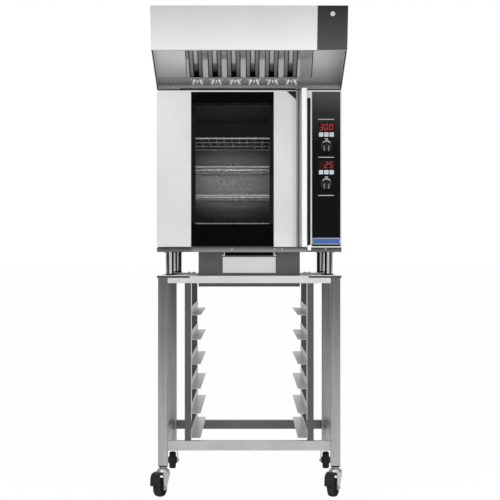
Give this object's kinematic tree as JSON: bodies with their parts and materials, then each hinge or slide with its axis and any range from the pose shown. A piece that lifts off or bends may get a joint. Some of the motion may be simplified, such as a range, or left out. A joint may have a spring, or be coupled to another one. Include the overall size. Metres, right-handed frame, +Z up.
{
  "type": "convection oven",
  "caption": "Free-standing electric convection oven with a side-hinged glass door, digital controls, a leaning extraction hood on top and a wheeled tray stand below.",
  "frame": {"origin": "on the floor, under the middle of the unit's full depth and on the oven's middle plane", "axes": "+X to the viewer's right, +Y to the back, +Z up"},
  "size_m": [0.7641, 1.155, 1.888],
  "materials": {
    "stainless": "brushed stainless sheet",
    "stainless_dark": "dull stainless sheet",
    "chrome": "bright plated steel",
    "zinc": "zinc-plated pressed steel",
    "grey_rubber": "grey rubber",
    "black_rubber": "black rubber",
    "black_gloss": "gloss black",
    "black_matte": "matt black",
    "key_grey": "light grey plastic",
    "dark_paint": "matt dark grey paint",
    "enamel": "dark enamelled steel",
    "dark_glass": "dark tempered glass",
    "clear_glass": "clear tempered glass",
    "display_red": "dark red window",
    "board_green": "circuit board",
    "aluminium": "cast aluminium"
  },
  "bodies": {
    "oven_frame": {"stand_legs": "stainless", "stand_top_rails": "stainless", "stand_corner_plates": "stainless", "stand_bottom_rails": "stainless", "runner_posts": "stainless", "tray_runners": "stainless", "caster_stems": "stainless_dark", "oven_feet": "chrome", "base_pan": "stainless_dark", "oven_casing": "stainless", "rear_panel": "stainless", "cable_gland": "black_matte", "cavity_liner": "enamel", "door_seal": "black_rubber", "door_hinges": "stainless_dark", "control_bezel": "stainless", "control_fascia": "black_gloss", "display_windows": "display_red", "control_board": "board_green", "rack_supports": "chrome", "fan_baffle": "enamel", "fan_motor": "aluminium", "heating_element": "stainless_dark", "hood_shell": "stainless", "hood_front_panel": "stainless", "hood_fascia": "dark_paint", "hood_liner": "stainless_dark", "grease_filter": "stainless_dark", "blower_motor": "aluminium", "drip_housing": "dark_paint"},
    "door": {"door_shell": "stainless", "door_outer_glass": "dark_glass", "door_inner_glass": "clear_glass", "door_handle": "stainless"},
    "upper_knob": {"knob_upper": "black_gloss"},
    "lower_knob": {"knob_lower": "black_gloss"},
    "hood_push_button": {"hood_button": "chrome"},
    "drawer": {"drip_drawer": "stainless"},
    "cavity_fan": {"circulation_fan": "stainless_dark"},
    "hood_blower": {"blower_wheel": "aluminium"},
    "upper_left_key": {"key_upper_left": "key_grey"},
    "upper_middle_key": {"key_upper_middle": "key_grey"},
    "upper_right_key": {"key_upper_right": "key_grey"},
    "lower_left_key": {"key_lower_left": "key_grey"},
    "lower_middle_key": {"key_lower_middle": "key_grey"},
    "lower_right_key": {"key_lower_right": "key_grey"},
    "rack_1": {"wire_rack_1": "chrome"},
    "rack_2": {"wire_rack_2": "chrome"},
    "rack_3": {"wire_rack_3": "chrome"},
    "rack_4": {"wire_rack_4": "chrome"},
    "front_left_caster": {"caster_fork_front_left": "zinc"},
    "front_left_wheel": {"caster_wheel_front_left": "grey_rubber"},
    "front_left_brake": {"brake_pedal_front_left": "black_matte"},
    "front_right_caster": {"caster_fork_front_right": "zinc"},
    "front_right_wheel": {"caster_wheel_front_right": "grey_rubber"},
    "front_right_brake": {"brake_pedal_front_right": "black_matte"},
    "rear_left_caster": {"caster_fork_rear_left": "zinc"},
    "rear_left_wheel": {"caster_wheel_rear_left": "grey_rubber"},
    "rear_right_caster": {"caster_fork_rear_right": "zinc"},
    "rear_right_wheel": {"caster_wheel_rear_right": "grey_rubber"}
  },
  "joints": [
    {"name": "door_hinge", "type": "hinge", "parent": "oven_frame", "child": "door", "pos_m": [-0.3535, -0.2025, 1.305], "axis": [0, 0, -1], "range_deg": [0, 130]},
    {"name": "drawer_slide", "type": "slide", "parent": "oven_frame", "child": "drawer", "axis": [0, -1, 0], "range_m": [0, 0.25]},
    {"name": "hood_button_press", "type": "slide", "parent": "oven_frame", "child": "hood_push_button", "axis": [0, 0.958, 0.2868], "range_m": [0, 0.002], "stiffness_N_per_m": 900, "springref_m": -0.001},
    {"name": "cavity_fan_spin", "type": "hinge", "parent": "oven_frame", "child": "cavity_fan", "pos_m": [-0.072, 0.5, 1.29], "axis": [0, 1, 0], "continuous": true},
    {"name": "hood_blower_spin", "type": "hinge", "parent": "oven_frame", "child": "hood_blower", "pos_m": [0, 0.1475, 1.8], "axis": [0, 0, 1], "continuous": true},
    {"name": "upper_knob_turn", "type": "hinge", "parent": "oven_frame", "child": "upper_knob", "pos_m": [0.307, -0.2325, 1.396], "axis": [0, -1, 0], "continuous": true},
    {"name": "lower_knob_turn", "type": "hinge", "parent": "oven_frame", "child": "lower_knob", "pos_m": [0.307, -0.2325, 1.246], "axis": [0, -1, 0], "continuous": true},
    {"name": "upper_left_key_press", "type": "slide", "parent": "oven_frame", "child": "upper_left_key", "axis": [0, 1, 0], "range_m": [0, 0.0008], "stiffness_N_per_m": 600, "springref_m": -0.001},
    {"name": "upper_middle_key_press", "type": "slide", "parent": "oven_frame", "child": "upper_middle_key", "axis": [0, 1, 0], "range_m": [0, 0.0008], "stiffness_N_per_m": 600, "springref_m": -0.001},
    {"name": "upper_right_key_press", "type": "slide", "parent": "oven_frame", "child": "upper_right_key", "axis": [0, 1, 0], "range_m": [0, 0.0008], "stiffness_N_per_m": 600, "springref_m": -0.001},
    {"name": "lower_left_key_press", "type": "slide", "parent": "oven_frame", "child": "lower_left_key", "axis": [0, 1, 0], "range_m": [0, 0.0008], "stiffness_N_per_m": 600, "springref_m": -0.001},
    {"name": "lower_middle_key_press", "type": "slide", "parent": "oven_frame", "child": "lower_middle_key", "axis": [0, 1, 0], "range_m": [0, 0.0008], "stiffness_N_per_m": 600, "springref_m": -0.001},
    {"name": "lower_right_key_press", "type": "slide", "parent": "oven_frame", "child": "lower_right_key", "axis": [0, 1, 0], "range_m": [0, 0.0008], "stiffness_N_per_m": 600, "springref_m": -0.001},
    {"name": "rack_1_slide", "type": "slide", "parent": "oven_frame", "child": "rack_1", "axis": [0, -1, 0], "range_m": [0, 0.015]},
    {"name": "rack_2_slide", "type": "slide", "parent": "oven_frame", "child": "rack_2", "axis": [0, -1, 0], "range_m": [0, 0.015]},
    {"name": "rack_3_slide", "type": "slide", "parent": "oven_frame", "child": "rack_3", "axis": [0, -1, 0], "range_m": [0, 0.015]},
    {"name": "rack_4_slide", "type": "slide", "parent": "oven_frame", "child": "rack_4", "axis": [0, -1, 0], "range_m": [0, 0.015]},
    {"name": "front_left_swivel", "type": "hinge", "parent": "oven_frame", "child": "front_left_caster", "pos_m": [-0.344, -0.2135, 0.1], "axis": [0, 0, 1], "continuous": true},
    {"name": "front_left_roll", "type": "hinge", "parent": "front_left_caster", "child": "front_left_wheel", "pos_m": [-0.35376, -0.23542, 0.038], "axis": [-0.9135, 0.4067, 0], "continuous": true},
    {"name": "front_left_brake_lift", "type": "hinge", "parent": "front_left_caster", "child": "front_left_brake", "pos_m": [-0.35783, -0.24456, 0.092], "axis": [-0.9135, 0.4067, 0], "range_deg": [0, 12]},
    {"name": "front_right_swivel", "type": "hinge", "parent": "oven_frame", "child": "front_right_caster", "pos_m": [0.344, -0.2135, 0.1], "axis": [0, 0, 1], "continuous": true},
    {"name": "front_right_roll", "type": "hinge", "parent": "front_right_caster", "child": "front_right_wheel", "pos_m": [0.33424, -0.23542, 0.038], "axis": [-0.9135, 0.4067, 0], "continuous": true},
    {"name": "front_right_brake_lift", "type": "hinge", "parent": "front_right_caster", "child": "front_right_brake", "pos_m": [0.33017, -0.24456, 0.092], "axis": [-0.9135, 0.4067, 0], "range_deg": [0, 12]},
    {"name": "rear_left_swivel", "type": "hinge", "parent": "oven_frame", "child": "rear_left_caster", "pos_m": [-0.344, 0.3985, 0.1], "axis": [0, 0, 1], "continuous": true},
    {"name": "rear_left_roll", "type": "hinge", "parent": "rear_left_caster", "child": "rear_left_wheel", "pos_m": [-0.344, 0.4225, 0.038], "axis": [1, 0, 0], "continuous": true},
    {"name": "rear_right_swivel", "type": "hinge", "parent": "oven_frame", "child": "rear_right_caster", "pos_m": [0.344, 0.3985, 0.1], "axis": [0, 0, 1], "continuous": true},
    {"name": "rear_right_roll", "type": "hinge", "parent": "rear_right_caster", "child": "rear_right_wheel", "pos_m": [0.344, 0.4225, 0.038], "axis": [1, 0, 0], "continuous": true}
  ]
}
